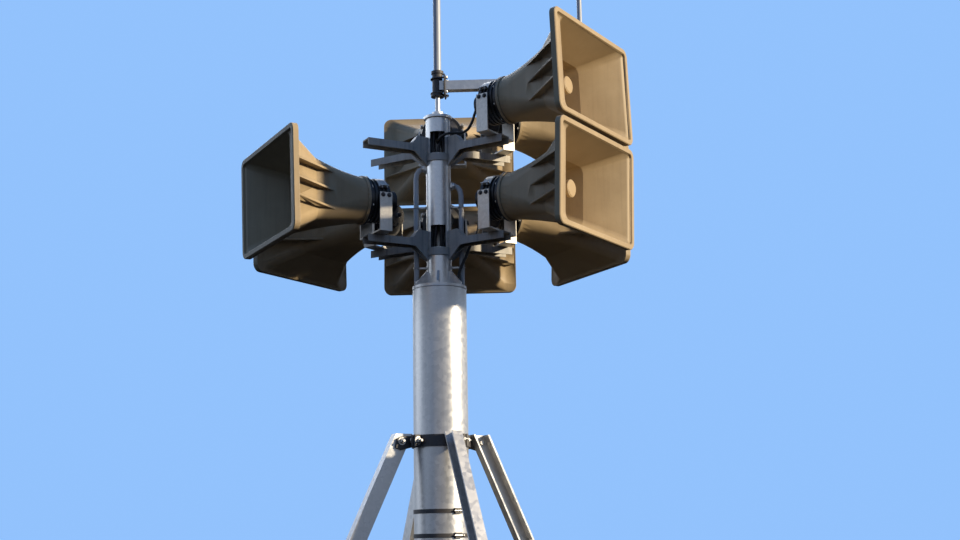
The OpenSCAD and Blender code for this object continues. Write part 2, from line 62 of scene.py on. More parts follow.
# Camera at the photograph's viewing angle
cameraPlan = {"azimuth": -86.08, "distance": 5.499, "height": 1.7806, "pitch": 11.66,
              "yaw": -1.736, "roll": -0.928, "focal": 1370.2, "imageWidth": 960, "sensor": 36.0,
              "clip": (0.05, 300)}


def makeCamera(plan):
    around = math.radians(plan["azimuth"])
    outward = Vector((math.cos(around), math.sin(around), 0))
    level = Matrix.Rotation(math.radians(plan["yaw"]), 3, "Z") @ -outward
    right = Vector((level.y, -level.x, 0))
    pitch, roll = math.radians(plan["pitch"]), math.radians(plan["roll"])
    forward = level * math.cos(pitch) + Vector((0, 0, math.sin(pitch)))
    above = Vector((0, 0, math.cos(pitch))) - level * math.sin(pitch)
    side = right * math.cos(roll) + above * math.sin(roll)
    top = above * math.cos(roll) - right * math.sin(roll)
    data = bpy.data.cameras.new("mainCamera")
    data.sensor_fit = "HORIZONTAL"
    data.sensor_width = plan["sensor"]
    data.lens = plan["focal"] / plan["imageWidth"] * plan["sensor"]
    data.clip_start, data.clip_end = plan["clip"]
    cam = bpy.data.objects.new("mainCamera", data)
    bpy.context.scene.collection.objects.link(cam)
    rotation = Matrix((side, top, -forward)).transposed()
    place = outward * plan["distance"] + Vector((0, 0, plan["height"]))
    cam.matrix_world = Matrix.Translation(place) @ rotation.to_4x4()
    bpy.context.scene.camera = cam


makeCamera(cameraPlan)
print("camera placed")


# Shader helpers
def addNode(tree, kind, **settings):
    node = tree.nodes.new(kind)
    for key, value in settings.items():
        if key in node.inputs:
            node.inputs[key].default_value = value
        else:
            setattr(node, key, value)
    return node


def mathNode(tree, operation, first, second=None):
    node = tree.nodes.new("ShaderNodeMath")
    node.operation = operation
    for socket, value in zip(node.inputs, (first, second)):
        if value is None:
            continue
        if isinstance(value, (int, float)):
            socket.default_value = value
        else:
            tree.links.new(value, socket)
    return node.outputs[0]


def remap(tree, value, low, high, toLow=0.0, toHigh=1.0):
    node = tree.nodes.new("ShaderNodeMapRange")
    node.inputs["From Min"].default_value, node.inputs["From Max"].default_value = low, high
    node.inputs["To Min"].default_value, node.inputs["To Max"].default_value = toLow, toHigh
    tree.links.new(value, node.inputs["Value"])
    return node.outputs["Result"]


def blendColour(tree, factor, first, second):
    node = tree.nodes.new("ShaderNodeMix")
    node.data_type = "RGBA"
    for socket, value in ((node.inputs[0], factor), (node.inputs[6], first), (node.inputs[7], second)):
        if isinstance(value, (int, float)):
            socket.default_value = value
        elif isinstance(value, tuple):
            socket.default_value = (*value, 1)
        else:
            tree.links.new(value, socket)
    return node.outputs[2]


def objectPlace(tree, stretch=(1, 1, 1)):
    place = tree.nodes.new("ShaderNodeTexCoord").outputs["Object"]
    node = tree.nodes.new("ShaderNodeMapping")
    node.inputs["Scale"].default_value = stretch
    tree.links.new(place, node.inputs["Vector"])
    return node.outputs["Vector"]


def noise(tree, place, scale, detail=4.0, roughness=0.55):
    node = addNode(tree, "ShaderNodeTexNoise", Scale=scale, Detail=detail, Roughness=roughness)
    tree.links.new(place, node.inputs["Vector"])
    return node.outputs["Fac"]


def makeGroup(name, inputs, outputs):
    group = bpy.data.node_groups.new(name, "ShaderNodeTree")
    for label, value in inputs.items():
        socket = group.interface.new_socket(label, in_out="INPUT", socket_type="NodeSocketFloat")
        socket.default_value = value
    for label in outputs:
        group.interface.new_socket(label, in_out="OUTPUT", socket_type="NodeSocketFloat")
    return group, group.nodes.new("NodeGroupInput"), group.nodes.new("NodeGroupOutput")


# Zinc crystals: angular cells of different tone with fine grain inside
spanglePlan = {"warpScale": 24.0, "warpDetail": 2.0, "warpReach": 0.012, "grainScale": 420.0,
               "grainDetail": 3.0, "cellShare": 0.75, "grainShare": 0.25}


def spangleGroup(plan):
    group, given, result = makeGroup("zincSpangle", {"Cells": 70.0}, ("Tone", "Relief"))
    place = objectPlace(group)
    warp = addNode(group, "ShaderNodeTexNoise", Scale=plan["warpScale"], Detail=plan["warpDetail"])
    group.links.new(place, warp.inputs["Vector"])
    push = group.nodes.new("ShaderNodeVectorMath")
    push.operation = "MULTIPLY_ADD"
    push.inputs[1].default_value = (plan["warpReach"],) * 3
    group.links.new(warp.outputs["Color"], push.inputs[0])
    group.links.new(place, push.inputs[2])
    cells = group.nodes.new("ShaderNodeTexVoronoi")
    group.links.new(push.outputs[0], cells.inputs["Vector"])
    group.links.new(given.outputs["Cells"], cells.inputs["Scale"])
    apart = group.nodes.new("ShaderNodeSeparateColor")
    group.links.new(cells.outputs["Color"], apart.inputs["Color"])
    grain = addNode(group, "ShaderNodeTexNoise", Scale=plan["grainScale"], Detail=plan["grainDetail"])
    group.links.new(place, grain.inputs["Vector"])
    tone = mathNode(group, "MULTIPLY_ADD", apart.outputs["Red"], plan["cellShare"])
    fine = mathNode(group, "MULTIPLY", grain.outputs["Fac"], plan["grainShare"])
    group.links.new(fine, tone.node.inputs[2])
    group.links.new(tone, result.inputs["Tone"])
    relief = mathNode(group, "ADD", apart.outputs["Green"], grain.outputs["Fac"])
    group.links.new(relief, result.inputs["Relief"])
    return group


# Bright mask on outward edges, broken up by noise
wearPlan = {"samples": 6, "bend": (0.995, 0.86), "chipScale": 90.0, "chipDetail": 6.0, "chips": (0.42, 0.62)}


def wearGroup(plan):
    group, given, result = makeGroup("edgeWear", {"Width": 0.004, "Amount": 1.0}, ("Mask",))
    rounded = addNode(group, "ShaderNodeBevel", samples=plan["samples"])
    group.links.new(given.outputs["Width"], rounded.inputs["Radius"])
    shape = group.nodes.new("ShaderNodeNewGeometry")
    dot = group.nodes.new("ShaderNodeVectorMath")
    dot.operation = "DOT_PRODUCT"
    group.links.new(rounded.outputs["Normal"], dot.inputs[0])
    group.links.new(shape.outputs["Normal"], dot.inputs[1])
    edge = remap(group, dot.outputs["Value"], *plan["bend"])
    chips = noise(group, objectPlace(group), plan["chipScale"], plan["chipDetail"])
    mask = mathNode(group, "MULTIPLY", edge, remap(group, chips, *plan["chips"]))
    group.links.new(mathNode(group, "MULTIPLY", mask, given.outputs["Amount"]), result.inputs["Mask"])
    return group


# Dust that settles on upward faces, streaks that rain draws down the sides, and painted shade that darkens
# corners and recesses
weatherAndShadePlan = {"patchScale": 14.0, "patchDetail": 6.0, "patchRoughness": 0.65, "patches": (0.3, 0.75),
               "facingUp": (-0.1, 0.9), "runStretch": (46, 46, 1.6), "runDetail": 5.0, "runRoughness": 0.7,
               "runs": (0.5, 0.74), "upright": (0.75, 0.2), "cornerShadeSamples": 8, "corners": (0.80, 0.20)}


def weatherAndShadeGroup(plan):
    group, given, result = makeGroup("weatherAndShade", {"Dust": 0.5, "Streaks": 0.4, "Reach": 0.06},
                                     ("Dust", "Streaks", "CornerShade"))
    shape = group.nodes.new("ShaderNodeNewGeometry")
    apart = group.nodes.new("ShaderNodeSeparateXYZ")
    group.links.new(shape.outputs["Normal"], apart.inputs["Vector"])
    patches = noise(group, objectPlace(group), plan["patchScale"], plan["patchDetail"],
                    plan["patchRoughness"])
    settled = mathNode(group, "MULTIPLY", remap(group, apart.outputs["Z"], *plan["facingUp"]),
                       remap(group, patches, *plan["patches"]))
    group.links.new(mathNode(group, "MULTIPLY", settled, given.outputs["Dust"]), result.inputs["Dust"])
    runs = noise(group, objectPlace(group, plan["runStretch"]), 1.0, plan["runDetail"], plan["runRoughness"])
    upright = remap(group, mathNode(group, "ABSOLUTE", apart.outputs["Z"]), *plan["upright"])
    drawn = mathNode(group, "MULTIPLY", remap(group, runs, *plan["runs"]), upright)
    group.links.new(mathNode(group, "MULTIPLY", drawn, given.outputs["Streaks"]), result.inputs["Streaks"])
    # Painted shade: ambient occlusion darkens corners, creases and recesses where shade falls
    corner = addNode(group, "ShaderNodeAmbientOcclusion", samples=plan["cornerShadeSamples"])
    group.links.new(given.outputs["Reach"], corner.inputs["Distance"])
    group.links.new(remap(group, corner.outputs["AO"], *plan["corners"]), result.inputs["CornerShade"])
    return group


groups = {"spangle": spangleGroup(spanglePlan), "wear": wearGroup(wearPlan),
          "weatherAndShade": weatherAndShadeGroup(weatherAndShadePlan)}


def useGroup(tree, key, **values):
    node = tree.nodes.new("ShaderNodeGroup")
    node.node_tree = groups[key]
    for label, value in values.items():
        node.inputs[label].default_value = value
    return node.outputs


def newMaterial(name, metallic, roughness):
    material = bpy.data.materials.new(name)
    material.use_nodes = True
    shader = material.node_tree.nodes["Principled BSDF"]
    shader.inputs["Metallic"].default_value = metallic
    shader.inputs["Roughness"].default_value = roughness
    return material, material.node_tree, shader


def addBump(tree, shader, height, strength, distance):
    bump = addNode(tree, "ShaderNodeBump", Strength=strength, Distance=distance)
    tree.links.new(height, bump.inputs["Height"])
    tree.links.new(bump.outputs["Normal"], shader.inputs["Normal"])


# What all zinc finishes share
zincPlan = {"wear": 0.7, "cloudScale": 5.0, "cloudDetail": 5.0, "clouds": (0.35, 0.7), "cloudShare": 0.35,
            "cornerShadeShare": 0.35, "tones": (0.1, 0.9), "dustRough": 0.3, "relief": 0.12, "reliefDepth": 0.0006}


def zincMaterial(name, look, plan):
    material, tree, shader = newMaterial(name, look["metallic"], 0.45)
    spangle = useGroup(tree, "spangle", Cells=look["cells"])
    wear = useGroup(tree, "wear", Width=look["edge"], Amount=plan["wear"])
    weatherAndShade = useGroup(tree, "weatherAndShade", Dust=look["dust"], Streaks=look["streaks"])
    colour = blendColour(tree, spangle["Tone"], look["dark"], look["light"])
    cloud = noise(tree, objectPlace(tree), plan["cloudScale"], plan["cloudDetail"])
    cloud = mathNode(tree, "MULTIPLY", remap(tree, cloud, *plan["clouds"]), plan["cloudShare"])
    colour = blendColour(tree, cloud, colour, look["dull"])
    colour = blendColour(tree, weatherAndShade["Streaks"], colour, look["stain"])
    colour = blendColour(tree, weatherAndShade["Dust"], colour, look["dustColour"])
    # Painted shade: corners and recesses darkened toward the stain colour
    corner = mathNode(tree, "MULTIPLY", weatherAndShade["CornerShade"], plan["cornerShadeShare"])
    colour = blendColour(tree, corner, colour, look["stain"])
    colour = blendColour(tree, wear["Mask"], colour, look["light"])
    tree.links.new(colour, shader.inputs["Base Color"])
    rough = remap(tree, spangle["Tone"], *plan["tones"], *look["rough"])
    rough = mathNode(tree, "ADD", rough, mathNode(tree, "MULTIPLY", weatherAndShade["Dust"], plan["dustRough"]))
    tree.links.new(rough, shader.inputs["Roughness"])
    addBump(tree, shader, spangle["Relief"], plan["relief"], plan["reliefDepth"])
    return material


# What all painted and moulded finishes share
paintPlan = {"mottleDetail": 6.0, "mottleRoughness": 0.6, "mottle": (0.3, 0.72), "speckScale": 260.0,
             "speckDetail": 2.0, "specks": (0.66, 0.74), "cornerShadeShare": 0.85, "dustRough": 0.25,
             "peelDetail": 3.0, "peelDepth": 0.0008}


def paintMaterial(name, look, plan):
    material, tree, shader = newMaterial(name, 0.0, 0.5)
    shader.inputs["Specular IOR Level"].default_value = look["specular"]
    place = objectPlace(tree)
    wear = useGroup(tree, "wear", Width=look["edge"], Amount=look["wearAmount"])
    weatherAndShade = useGroup(tree, "weatherAndShade", Dust=look["dust"], Streaks=look["streaks"], Reach=look["reach"])
    mottle = noise(tree, place, look["mottleScale"], plan["mottleDetail"], plan["mottleRoughness"])
    mottle = remap(tree, mottle, *plan["mottle"])
    colour = blendColour(tree, mottle, look["dark"], look["light"])
    speck = remap(tree, noise(tree, place, plan["speckScale"], plan["speckDetail"]), *plan["specks"])
    colour = blendColour(tree, mathNode(tree, "MULTIPLY", speck, look["specks"]), colour, look["stain"])
    colour = blendColour(tree, weatherAndShade["Streaks"], colour, look["stain"])
    colour = blendColour(tree, weatherAndShade["Dust"], colour, look["dustColour"])
    # Painted shade: corners and recesses darkened toward a dark colour
    corner = mathNode(tree, "MULTIPLY", weatherAndShade["CornerShade"], plan["cornerShadeShare"])
    colour = blendColour(tree, corner, colour, look["cornerShadeColour"])
    colour = blendColour(tree, wear["Mask"], colour, look["bare"])
    tree.links.new(colour, shader.inputs["Base Color"])
    rough = remap(tree, mottle, 0.0, 1.0, *look["rough"])
    rough = mathNode(tree, "ADD", rough, mathNode(tree, "MULTIPLY", weatherAndShade["Dust"], plan["dustRough"]))
    tree.links.new(rough, shader.inputs["Roughness"])
    peel = noise(tree, place, look["peelScale"], plan["peelDetail"])
    addBump(tree, shader, peel, look["peel"], plan["peelDepth"])
    return material


# The stain colour of each zinc look also paints the shade in its corners and recesses
zincLooks = {
    "galvanised": {"metallic": 0.75, "cells": 62.0, "edge": 0.003, "dust": 0.25, "streaks": 0.25,
                   "rough": (0.33, 0.43), "dark": (0.52, 0.53, 0.54), "light": (0.72, 0.72, 0.72),
                   "dull": (0.57, 0.57, 0.57), "stain": (0.36, 0.35, 0.34),
                   "dustColour": (0.46, 0.43, 0.39)},
    "headZinc": {"metallic": 0.75, "cells": 70.0, "edge": 0.003, "dust": 0.2, "streaks": 0.25,
                 "rough": (0.34, 0.44), "dark": (0.7, 0.71, 0.71), "light": (0.9, 0.9, 0.89),
                 "dull": (0.78, 0.78, 0.77), "stain": (0.4, 0.39, 0.37), "dustColour": (0.5, 0.47, 0.42)},
    "plateZinc": {"metallic": 0.65, "cells": 90.0, "edge": 0.0015, "dust": 0.2, "streaks": 0.2,
                  "rough": (0.38, 0.55), "dark": (0.6, 0.57, 0.52), "light": (0.82, 0.79, 0.73),
                  "dull": (0.66, 0.63, 0.58), "stain": (0.34, 0.31, 0.27), "dustColour": (0.45, 0.41, 0.35)},
    "boltZinc": {"metallic": 0.9, "cells": 300.0, "edge": 0.0008, "dust": 0.2, "streaks": 0.3,
                 "rough": (0.3, 0.5), "dark": (0.38, 0.38, 0.38), "light": (0.72, 0.71, 0.68),
                 "dull": (0.45, 0.43, 0.4), "stain": (0.22, 0.13, 0.08), "dustColour": (0.4, 0.36, 0.3)},
}
# Each painted look names the dark colour that paints shade into its corners and recesses
paintLooks = {
    "hornPaint": {"specular": 0.25, "edge": 0.006, "wearAmount": 0.55, "dust": 0.35, "streaks": 0.22,
                  "reach": 0.1, "mottleScale": 7.0, "specks": 0.35, "rough": (0.42, 0.58),
                  "peelScale": 130.0, "peel": 0.1, "dark": (0.42, 0.315, 0.185),
                  "light": (0.5, 0.385, 0.235), "stain": (0.2, 0.15, 0.1), "cornerShadeColour": (0.07, 0.055, 0.04),
                  "dustColour": (0.45, 0.38, 0.28), "bare": (0.7, 0.61, 0.48)},
    "driverEnamel": {"specular": 0.5, "edge": 0.0015, "wearAmount": 0.5, "dust": 0.4, "streaks": 0.2,
                     "reach": 0.05, "mottleScale": 24.0, "specks": 0.2, "rough": (0.3, 0.45),
                     "peelScale": 380.0, "peel": 0.25, "dark": (0.012, 0.012, 0.014),
                     "light": (0.028, 0.028, 0.03), "stain": (0.06, 0.05, 0.045),
                     "cornerShadeColour": (0.01, 0.009, 0.008), "dustColour": (0.13, 0.12, 0.105),
                     "bare": (0.22, 0.22, 0.22)},
    "armPaint": {"specular": 0.5, "edge": 0.0025, "wearAmount": 0.7, "dust": 0.45, "streaks": 0.45,
                 "reach": 0.05, "mottleScale": 16.0, "specks": 0.5, "rough": (0.4, 0.6),
                 "peelScale": 220.0, "peel": 0.2, "dark": (0.47, 0.44, 0.39), "light": (0.62, 0.58, 0.51),
                 "stain": (0.07, 0.055, 0.045), "cornerShadeColour": (0.04, 0.035, 0.03),
                 "dustColour": (0.33, 0.3, 0.25), "bare": (0.5, 0.5, 0.49)},
    "darkSteel": {"specular": 0.5, "edge": 0.002, "wearAmount": 0.6, "dust": 0.4, "streaks": 0.3,
                  "reach": 0.05, "mottleScale": 30.0, "specks": 0.6, "rough": (0.45, 0.65),
                  "peelScale": 300.0, "peel": 0.35, "dark": (0.045, 0.042, 0.042),
                  "light": (0.095, 0.09, 0.088), "stain": (0.11, 0.06, 0.035),
                  "cornerShadeColour": (0.03, 0.022, 0.016), "dustColour": (0.22, 0.19, 0.16),
                  "bare": (0.32, 0.31, 0.3)},
    "antennaWhite": {"specular": 0.5, "edge": 0.001, "wearAmount": 0.2, "dust": 0.3, "streaks": 0.3,
                     "reach": 0.05, "mottleScale": 9.0, "specks": 0.25, "rough": (0.3, 0.45),
                     "peelScale": 90.0, "peel": 0.05, "dark": (0.35, 0.39, 0.46),
                     "light": (0.43, 0.47, 0.54), "stain": (0.3, 0.29, 0.27), "cornerShadeColour": (0.16, 0.15, 0.13),
                     "dustColour": (0.5, 0.48, 0.43), "bare": (0.8, 0.8, 0.79)},
    "conduitGrey": {"specular": 0.5, "edge": 0.001, "wearAmount": 0.2, "dust": 0.4, "streaks": 0.4,
                    "reach": 0.05, "mottleScale": 14.0, "specks": 0.3, "rough": (0.42, 0.58),
                    "peelScale": 240.0, "peel": 0.08, "dark": (0.58, 0.58, 0.58),
                    "light": (0.7, 0.7, 0.69), "stain": (0.22, 0.2, 0.18), "cornerShadeColour": (0.1, 0.09, 0.08),
                    "dustColour": (0.4, 0.37, 0.33), "bare": (0.62, 0.62, 0.62)},
    "leadBlack": {"specular": 0.4, "edge": 0.0008, "wearAmount": 0.15, "dust": 0.5, "streaks": 0.1,
                  "reach": 0.05, "mottleScale": 40.0, "specks": 0.15, "rough": (0.5, 0.7),
                  "peelScale": 500.0, "peel": 0.15, "dark": (0.012, 0.012, 0.012),
                  "light": (0.03, 0.03, 0.031), "stain": (0.06, 0.055, 0.05), "cornerShadeColour": (0.01, 0.01, 0.01),
                  "dustColour": (0.12, 0.11, 0.1), "bare": (0.07, 0.07, 0.07)},
}
materials = {name: zincMaterial(name, look, zincPlan) for name, look in zincLooks.items()}
materials.update({name: paintMaterial(name, look, paintPlan) for name, look in paintLooks.items()})
print("materials made:", len(materials))

# Finish of each node by the first word of its name, then the nodes that differ
finishes = {"mast": "galvanised", "leg": "galvanised", "foot": "galvanised", "head": "headZinc",
            "lower": "armPaint", "upper": "armPaint", "horn": "hornPaint", "driver": "driverEnamel",
            "yoke": "plateZinc", "antenna": "antennaWhite", "side": "galvanised",
            "conduit": "conduitGrey", "lead": "leadBlack"}
special = {"mast_straps": "darkSteel", "leg_clamp": "darkSteel", "antenna_clamp": "darkSteel",
           "antenna_stub": "galvanised", "side_rod": "antennaWhite"}
for name, part in nodes.items():
    finish = special.get(name, finishes[name.split("_")[0]])
    part.data.materials.clear()
    part.data.materials.append(materials[finish])


def armHeight(tier):
    return tower["upperArmZ"] if tier else tower["lowerArmZ"]


def hornFrame(key):
    # Place of a horn whose axis is local x, measured from the mast axis
    azimuth, tier = horns[key]
    tilt = tower["tilt"] if tier else -tower["tilt"]
    turn = Matrix.Rotation(math.radians(azimuth), 4, "Z")
    lift = Matrix.Translation((tower["pivotRadius"], 0, armHeight(tier) + tower["axisRise"]))
    lean = Matrix.Rotation(math.radians(-tilt), 4, "Y")
    return turn @ lift @ lean @ Matrix.Translation((-tower["pivotRadius"], 0, 0))


# Curved nodes made of flat facets: merged copies that shade smoothly
smoothPlan = {"horn": {"angle": 20.0, "slot": "horn_paint"},
              "conduit": {"angle": 50.0, "slot": "conduit_grey"},
              "lead": {"angle": 60.0, "slot": "lead_black"}}
creaseReach = 0.0008  # how near the bend an edge has to lie


def markCrease(data, key):
    # The neck meets the flat mouth walls at a bend that stays crisp
    local = hornFrame(key).inverted()
    reach = [(local @ vert.co).x for vert in data.vertices]
    for edge in data.edges:
        if all(abs(reach[index] - tower["breakRadius"]) < creaseReach for index in edge.vertices):
            edge.use_edge_sharp = True


def smoothCopy(name, look):
    mesh = bmesh.new()
    mesh.from_mesh(nodes[name].data)
    bmesh.ops.remove_doubles(mesh, verts=mesh.verts, dist=mergeGap)
    data = bpy.data.meshes.new(name + "Skin")
    mesh.to_mesh(data)
    mesh.free()
    data.materials.clear()
    data.materials.append(nodes[name].data.materials[0])
    data.shade_smooth()
    data.set_sharp_from_angle(angle=math.radians(look["angle"]))
    if name.startswith("horn_"):
        markCrease(data, name[len("horn_"):])
    piece = bpy.data.objects.new(name + "Skin", data)
    bpy.context.scene.collection.objects.link(piece)
    evened = piece.modifiers.new("evened", "WEIGHTED_NORMAL")
    evened.keep_sharp = True
    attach(piece, "root")
    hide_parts(name)


for name in nodes:
    if name.split("_")[0] in smoothPlan:
        smoothCopy(name, smoothPlan[name.split("_")[0]])
print("faceted nodes smoothed")


# Piece helpers
def finishPiece(name, mesh, material, smoothAngle=None):
    bmesh.ops.recalc_face_normals(mesh, faces=mesh.faces)
    data = bpy.data.meshes.new(name)
    mesh.to_mesh(data)
    mesh.free()
    data.materials.append(materials[material])
    piece = bpy.data.objects.new(name, data)
    bpy.context.scene.collection.objects.link(piece)
    if smoothAngle:
        data.shade_smooth()
        data.set_sharp_from_angle(angle=math.radians(smoothAngle))
    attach(piece, "root")


def turned(place, direction):
    return Matrix.Translation(place) @ Vector(direction).to_track_quat("Z", "Y").to_matrix().to_4x4()


def addDisc(mesh, at, low, high, sides, radiusLow, radiusHigh=None):
    radiusHigh = radiusLow if radiusHigh is None else radiusHigh
    middle = at @ Matrix.Translation((0, 0, (low + high) / 2))
    bmesh.ops.create_cone(mesh, cap_ends=True, segments=sides, radius1=radiusLow, radius2=radiusHigh,
                          depth=high - low, matrix=middle)


# Bolt head or nut, as shares of its width across the flats
hexShape = {"corner": 0.577, "height": 0.62, "chamfer": 0.09, "crown": 0.84, "washer": 0.14,
            "washerRadius": 0.92, "washerSides": 20, "studRadius": 0.3, "studEnd": 0.27, "studSides": 14}


def addHex(mesh, place, direction, across, stud=0.0):
    # Washer, hexagon with a chamfered crown and, where a stud is given, its tapered end
    shape = hexShape
    at = turned(place, direction)
    corner, washer = across * shape["corner"], across * shape["washer"]
    top = washer + across * shape["height"]
    edge = top - across * shape["chamfer"]
    addDisc(mesh, at, 0, washer, shape["washerSides"], across * shape["washerRadius"])
    addDisc(mesh, at, washer, edge, 6, corner)
    addDisc(mesh, at, edge, top, 6, corner, corner * shape["crown"])
    if stud:
        addDisc(mesh, at, top, top + stud, shape["studSides"], across * shape["studRadius"],
                across * shape["studEnd"])


def edgesOf(verts):
    # Each edge of these vertices once, always in the same order
    return list(dict.fromkeys(line for vert in verts for line in vert.link_edges))


def addBlock(mesh, at, size, edge):
    # Block with softened edges; at places its centre
    made = bmesh.ops.create_cube(mesh, size=1.0, matrix=at @ Matrix.Diagonal((*size, 1)))
    bmesh.ops.bevel(mesh, geom=edgesOf(made["verts"]), offset=edge, segments=2, profile=0.5,
                    affect="EDGES", material=-1)


def addTube(mesh, route, radius, sides=10, closed=False):
    # Rings along a route, joined one to the next
    rings = []
    count = len(route)
    for index, spot in enumerate(route):
        before = route[index - 1] if index or closed else spot
        after = route[(index + 1) % count] if index + 1 < count or closed else spot
        at = turned(spot, after - before)
        ring = bmesh.ops.create_circle(mesh, segments=sides, radius=radius, matrix=at)
        rings.append(edgesOf(ring["verts"]))
    pairs = list(zip(rings, rings[1:])) + ([(rings[-1], rings[0])] if closed else [])
    for first, second in pairs:
        bmesh.ops.bridge_loops(mesh, edges=first + second)
    if not closed:
        bmesh.ops.holes_fill(mesh, edges=rings[0] + rings[-1], sides=0)


# Point at a radius and azimuth round the mast, sideways along the tangent
def polar(radius, azimuth, height, sideways=0.0):
    turn = math.radians(azimuth)
    return Vector((radius * math.cos(turn) - sideways * math.sin(turn),
                   radius * math.sin(turn) + sideways * math.cos(turn), height))


def heading(azimuth):
    return Vector((math.cos(math.radians(azimuth)), math.sin(math.radians(azimuth)), 0))


def makeAnchors(plan):
    mesh = bmesh.new()
    for x in (-1, 1):
        for y in (-1, 1):
            place = Vector((x * tower["anchorHalf"], y * tower["anchorHalf"], tower["baseTop"]))
            addHex(mesh, place, (0, 0, 1), plan["mastAcross"], plan["mastStud"])
    for quarter in range(4):
        azimuth = tower["legTurn"] + 90 * quarter
        for outward in (-1, 1):
            for sideways in (-1, 1):
                radius = tower["footRadius"] + outward * tower["footHoleHalf"]
                place = polar(radius, azimuth, tower["footTop"], sideways * tower["footHoleHalf"])
                addHex(mesh, place, (0, 0, 1), plan["footAcross"], plan["footStud"])
    finishPiece("anchorNuts", mesh, "boltZinc")


makeAnchors({"mastAcross": 0.030, "mastStud": 0.022, "footAcross": 0.019, "footStud": 0.014})


def makeBraceBolts(plan):
    mesh = bmesh.new()
    slope = (tower["footRadius"] - tower["legAxisRadius"]) / (tower["clampZ"] - tower["footPinZ"])
    for quarter in range(4):
        azimuth = tower["legTurn"] + 90 * quarter
        side = heading(azimuth + 90)
        inner = -tower["lugHalf"] - tower["webThickness"]
        spots = [(tower["legAxisRadius"], tower["clampZ"])]
        for rise in plan["footRises"]:
            spots.append((tower["footRadius"] - rise * slope, tower["footPinZ"] + rise))
        for radius, height in spots:
            addHex(mesh, polar(radius, azimuth, height, inner), -side, plan["across"])
            addHex(mesh, polar(radius, azimuth, height, tower["lugHalf"]), side, plan["across"], plan["stud"])
        ear = azimuth + tower["earTurn"]
        for way in (-1, 1):
            addHex(mesh, polar(tower["earBoltRadius"], ear, tower["clampZ"], way * tower["earHalf"]),
                   heading(ear + 90) * way, plan["across"], plan["stud"] if way > 0 else 0)
    finishPiece("braceBolts", mesh, "boltZinc")


makeBraceBolts({"across": 0.018, "stud": 0.010, "footRises": (0.0, 0.042)})


def addBoltRing(mesh, place, reach, count, radius, across):
    # Heads in a circle round a horn's axis, pointing at the mast
    inward = place.to_3x3() @ Vector((-1, 0, 0))
    for step in range(count):
        turn = 2 * math.pi * (step + 0.5) / count
        spot = Vector((reach, radius * math.cos(turn), radius * math.sin(turn)))
        addHex(mesh, place @ spot, inward, across)


def makeHornBolts(plan):
    # Pivots of the yokes, bolts of the yokes on their arms, and those of the flanges and rear covers
    steel = bmesh.new()
    dark = bmesh.new()
    for key, (azimuth, tier) in horns.items():
        pivotZ = armHeight(tier) + tower["axisRise"] + plan["pivotRise"]
        for way in (-1, 1):
            for offset in plan["pivotOffsets"]:
                place = polar(tower["pivotRadius"] + offset, azimuth, pivotZ, way * tower["yokeHalf"])
                addHex(dark, place, heading(azimuth + 90) * way, plan["pivotAcross"])
        seat = polar(tower["pivotRadius"], azimuth, armHeight(tier) + tower["yokeThickness"])
        addHex(steel, seat, (0, 0, 1), plan["seatAcross"])
        place = hornFrame(key)
        addBoltRing(steel, place, tower["jointRadius"] - tower["driverFlange"], **plan["flange"])
        addBoltRing(dark, place, tower["driverRear"], **plan["cover"])
    finishPiece("pivotBolts", dark, "darkSteel")
    finishPiece("hornBolts", steel, "boltZinc")


makeHornBolts({"pivotOffsets": (-0.013, 0.013), "pivotRise": 0.004, "pivotAcross": 0.010, "seatAcross": 0.019,
               "flange": {"count": 8, "radius": 0.0942, "across": 0.007},
               "cover": {"count": 6, "radius": 0.038, "across": 0.006}})


def makeDriverBands(plan):
    # Band over each driver, bolted to a tab at both ends, that holds it down between the uprights of its yoke
    bands = bmesh.new()
    bolts = bmesh.new()
    low, high = plan["centre"] - plan["width"] / 2, plan["centre"] + plan["width"] / 2
    inner, outer = tower["finRadius"] + plan["gap"], tower["finRadius"] + plan["gap"] + plan["thick"]
    start, end = math.radians(plan["start"]), math.radians(180 - plan["start"])
    middle = Vector((plan["centre"], 0, 0))
    tabSize = (plan["width"], plan["tab"], plan["thick"] * plan["tabShare"])
    for key in horns:
        place = hornFrame(key)
        band = bmesh.new()
        corners = [band.verts.new((x, radius * math.cos(start), radius * math.sin(start)))
                   for x, radius in ((low, inner), (high, inner), (high, outer), (low, outer))]
        edges = [band.edges.new((corners[index], corners[(index + 1) % 4])) for index in range(4)]
        bmesh.ops.spin(band, geom=corners + edges, cent=(0, 0, 0), axis=(1, 0, 0), angle=end - start,
                       steps=plan["steps"])
        openEdges = [edge for edge in band.edges if len(edge.link_faces) < 2]
        bmesh.ops.holes_fill(band, edges=openEdges, sides=4)
        for turn, way in ((start, 1), (end, -1)):
            outward = Vector((0, math.cos(turn), math.sin(turn)))
            tab = Matrix.Translation(middle + outward * (inner + plan["tab"] / 2))
            addBlock(band, tab @ Matrix.Rotation(turn, 4, "X"), tabSize, plan["tabEdge"])
            spot = place @ (middle + outward * (inner + plan["tab"] * plan["boltAt"]))
            across = place.to_3x3() @ Vector((0, -math.sin(turn), math.cos(turn))) * way
            for offset in (-plan["boltOffset"], plan["boltOffset"]):
                side = place.to_3x3() @ Vector((offset, 0, 0))
                lift = across * plan["thick"] * plan["tabShare"] / 2
                addHex(bolts, spot + side - lift, -across, plan["across"], plan["stud"])
                addHex(bolts, spot + side + lift, across, plan["across"])
        band.transform(place)
        joined = bpy.data.meshes.new("bandPart")
        band.to_mesh(joined)
        band.free()
        bands.from_mesh(joined)
        bpy.data.meshes.remove(joined)
    finishPiece("bandBolts", bolts, "boltZinc")
    finishPiece("driverBands", bands, "plateZinc", 40)


makeDriverBands({"centre": 0.282, "width": 0.038, "gap": 0.0002, "thick": 0.0022, "start": 26.0, "steps": 26,
                 "tab": 0.017, "tabShare": 1.4, "tabEdge": 0.0006, "boltAt": 0.62, "boltOffset": 0.011,
                 "across": 0.007, "stud": 0.003})


